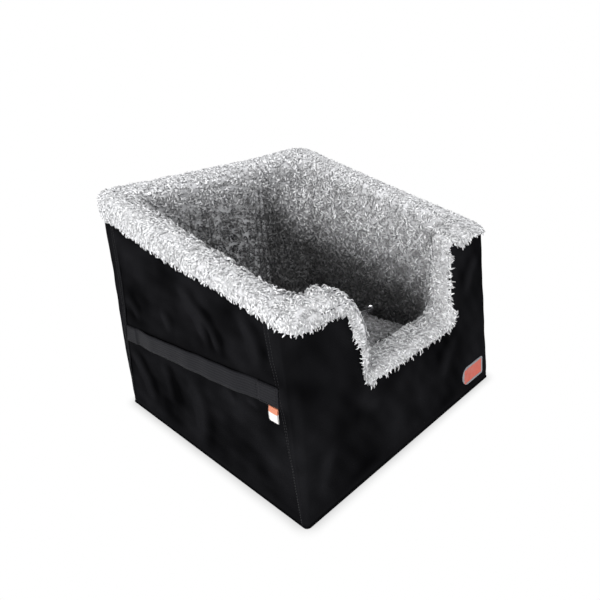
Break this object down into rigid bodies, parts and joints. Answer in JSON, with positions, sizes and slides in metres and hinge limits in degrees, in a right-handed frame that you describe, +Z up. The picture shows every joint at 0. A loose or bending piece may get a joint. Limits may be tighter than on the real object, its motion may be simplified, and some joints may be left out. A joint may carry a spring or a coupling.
{
  "type": "dog car seat",
  "caption": "Padded square booster tub for a small dog, with a sloping fleece rim, a dipped front, a lift-out cushion, belt straps and a leash with a swivel snap.",
  "frame": {"origin": "centre of the base, on the surface the tub stands on", "axes": "+Z up, -Y to the front where the rim dips, +X to the right seen from the front"},
  "size_m": [0.5154, 0.4918, 0.4203],
  "materials": {
    "black_cloth": "matte",
    "board": "matte",
    "foam": "matte",
    "grey_fleece": "matte",
    "black_webbing": "matte",
    "chrome": "polished",
    "spring_steel": "satin",
    "patch_rubber": "matte",
    "tag_ribbon": "matte"
  },
  "bodies": {
    "tub": {"front_cover": "black_cloth", "right_cover": "black_cloth", "rear_cover": "black_cloth", "left_cover": "black_cloth", "base_cover": "black_cloth", "front_board": "board", "right_board": "board", "rear_board": "board", "left_board": "board", "base_board": "board", "front_foam": "foam", "right_foam": "foam", "rear_foam": "foam", "left_foam": "foam", "booster_foam": "foam", "front_liner": "grey_fleece", "front_left_liner": "grey_fleece", "front_right_liner": "grey_fleece", "right_liner": "grey_fleece", "rear_liner": "grey_fleece", "left_liner": "grey_fleece", "floor_liner": "grey_fleece", "left_belt_strap": "black_webbing", "right_belt_strap": "black_webbing", "front_patch": "patch_rubber", "side_tag": "tag_ribbon", "anchor_tab": "black_webbing"},
    "cushion": {"cushion_cover": "grey_fleece", "cushion_core": "foam", "cushion_base": "black_cloth", "leash_webbing": "black_webbing", "leash_return": "black_webbing", "snap_eye": "chrome"},
    "slider": {"leash_slider": "chrome"},
    "snap": {"snap_body": "chrome", "snap_spring": "spring_steel"},
    "bolt": {"snap_bolt": "chrome"}
  },
  "joints": [
    {"name": "cushion_lift", "type": "slide", "parent": "tub", "child": "cushion", "axis": [0, 0, 1], "range_m": [0, 0.35], "deforming": ["leash_webbing"]},
    {"name": "leash_adjust", "type": "slide", "parent": "cushion", "child": "slider", "axis": [-0.9781, 0.2079, 0], "range_m": [0, 0.035]},
    {"name": "snap_swivel", "type": "hinge", "parent": "cushion", "child": "snap", "pos_m": [0.1, -0.0164, 0.126], "axis": [0.9781, -0.2079, 0], "continuous": true},
    {"name": "bolt_pull", "type": "slide", "parent": "snap", "child": "bolt", "axis": [-0.9781, 0.2079, 0], "range_m": [0, 0.007], "stiffness_N_per_m": 300, "deforming": ["snap_spring"]}
  ]
}
